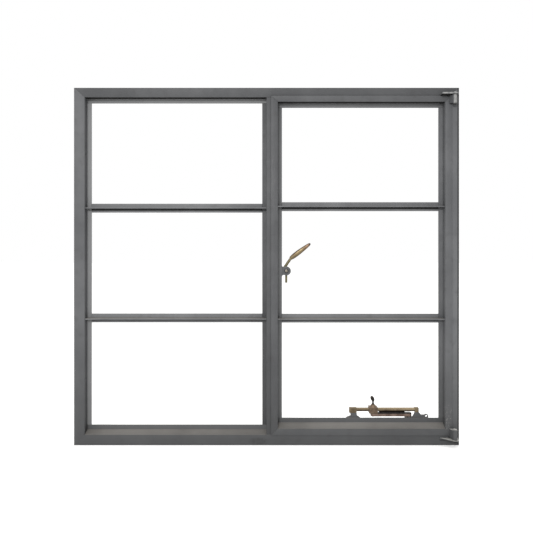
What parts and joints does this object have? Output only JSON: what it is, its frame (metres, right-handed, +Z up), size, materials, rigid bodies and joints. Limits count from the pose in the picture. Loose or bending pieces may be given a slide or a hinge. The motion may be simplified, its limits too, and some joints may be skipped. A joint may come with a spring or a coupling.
{
  "type": "steel casement window",
  "caption": "Two-light steel window with a fixed light, a side-hung casement opening outwards, a cockspur handle and a sliding stay.",
  "frame": {"origin": "middle of the sill's lower edge, on the outside face of the frame", "axes": "+X along the sill towards the hinge side, +Y into the room, +Z up"},
  "size_m": [1.022, 0.0638, 0.949],
  "materials": {
    "frame_paint": "grey primer paint on rolled steel, matt, slightly worn",
    "brass": "aged cast brass, worn bright on the edges",
    "dark_bronze": "darkened bronze",
    "bare_steel": "dull steel"
  },
  "bodies": {
    "frame": {"frame_head": "frame_paint", "frame_sill": "frame_paint", "frame_jamb_left": "frame_paint", "frame_jamb_right": "frame_paint", "mullion": "frame_paint", "fixed_bar_lower": "frame_paint", "fixed_bar_upper": "frame_paint", "hinge_plate_top": "frame_paint", "hinge_plate_bottom": "frame_paint", "hinge_pin_top": "bare_steel", "hinge_pin_bottom": "bare_steel", "striker_plate": "brass", "stay_bracket": "frame_paint", "stay_pivot_pin": "bare_steel"},
    "casement": {"casement_top_rail": "frame_paint", "casement_bottom_rail": "frame_paint", "casement_lock_stile": "frame_paint", "casement_hinge_stile": "frame_paint", "casement_bar_lower": "frame_paint", "casement_bar_upper": "frame_paint", "hinge_knuckle_top": "frame_paint", "hinge_knuckle_bottom": "frame_paint", "handle_lug": "frame_paint", "handle_rivet": "brass", "handle_washer": "brass", "stay_rod": "brass", "stay_lug_left": "frame_paint", "stay_lug_right": "frame_paint", "stay_screws": "bare_steel"},
    "handle": {"handle_lever": "brass"},
    "arm": {"stay_arm": "brass"},
    "slider": {"slider_block": "brass", "slider_rivet": "bare_steel"},
    "thumbscrew": {"thumbscrew": "dark_bronze"}
  },
  "joints": [
    {"name": "casement_swing", "type": "hinge", "parent": "frame", "child": "casement", "pos_m": [0.495, -0.015, 0.4745], "axis": [0, 0, 1], "range_deg": [0, 45]},
    {"name": "handle_turn", "type": "hinge", "parent": "casement", "child": "handle", "pos_m": [0.0535, 0.0305, 0.461], "axis": [0, 1, 0], "range_deg": [0, 90]},
    {"name": "arm_swing", "type": "hinge", "parent": "frame", "child": "arm", "pos_m": [0.385, 0.0275, 0.073], "axis": [0, 0, 1], "range_deg": [0, 89]},
    {"name": "slider_turn", "type": "hinge", "parent": "arm", "child": "slider", "pos_m": [0.288, 0.0275, 0.073], "axis": [0, 0, 1], "range_deg": [-44, 0]},
    {"name": "thumbscrew_turn", "type": "hinge", "parent": "slider", "child": "thumbscrew", "pos_m": [0.288, 0.0275, 0.1], "axis": [0, 0, 1], "range_deg": [0, 360]}
  ],
  "couplings": [
    {"joint": "arm_swing", "follows": "casement_swing", "ratio": 1.97},
    {"joint": "slider_turn", "follows": "casement_swing", "ratio": -0.97}
  ]
}
